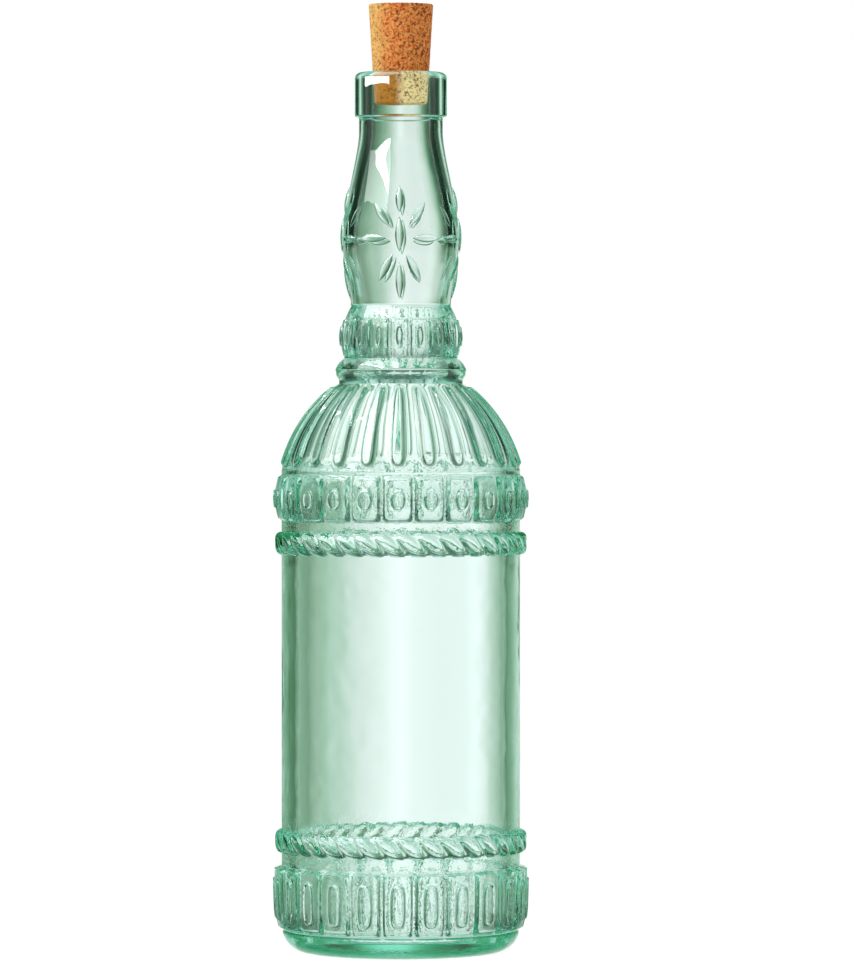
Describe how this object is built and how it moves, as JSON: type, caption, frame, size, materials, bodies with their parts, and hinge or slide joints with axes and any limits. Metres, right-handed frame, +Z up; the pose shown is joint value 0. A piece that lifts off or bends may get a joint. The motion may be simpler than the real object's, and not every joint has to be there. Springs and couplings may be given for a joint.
{
  "type": "oil bottle",
  "caption": "Pale green pressed glass bottle with tablet bands, rope rings, a ribbed dome and starred neck, closed by a tapered cork.",
  "frame": {"origin": "centre of the bottle on the surface it stands on", "axes": "+Z up along the bottle's axis; the front, with a star on the neck, faces -Y"},
  "size_m": [0.0852, 0.0852, 0.3126],
  "materials": {
    "pale_green_glass": "clear, slightly wavy moulded glass",
    "pressed_cork": "matt pressed cork granules"
  },
  "bodies": {
    "bottle": {"bottle_glass": "pale_green_glass"},
    "cork": {"cork_stopper": "pressed_cork"}
  },
  "joints": [
    {"name": "cork_lift", "type": "slide", "parent": "bottle", "child": "cork", "axis": [0, 0, 1], "range_m": [0, 0.06]}
  ]
}
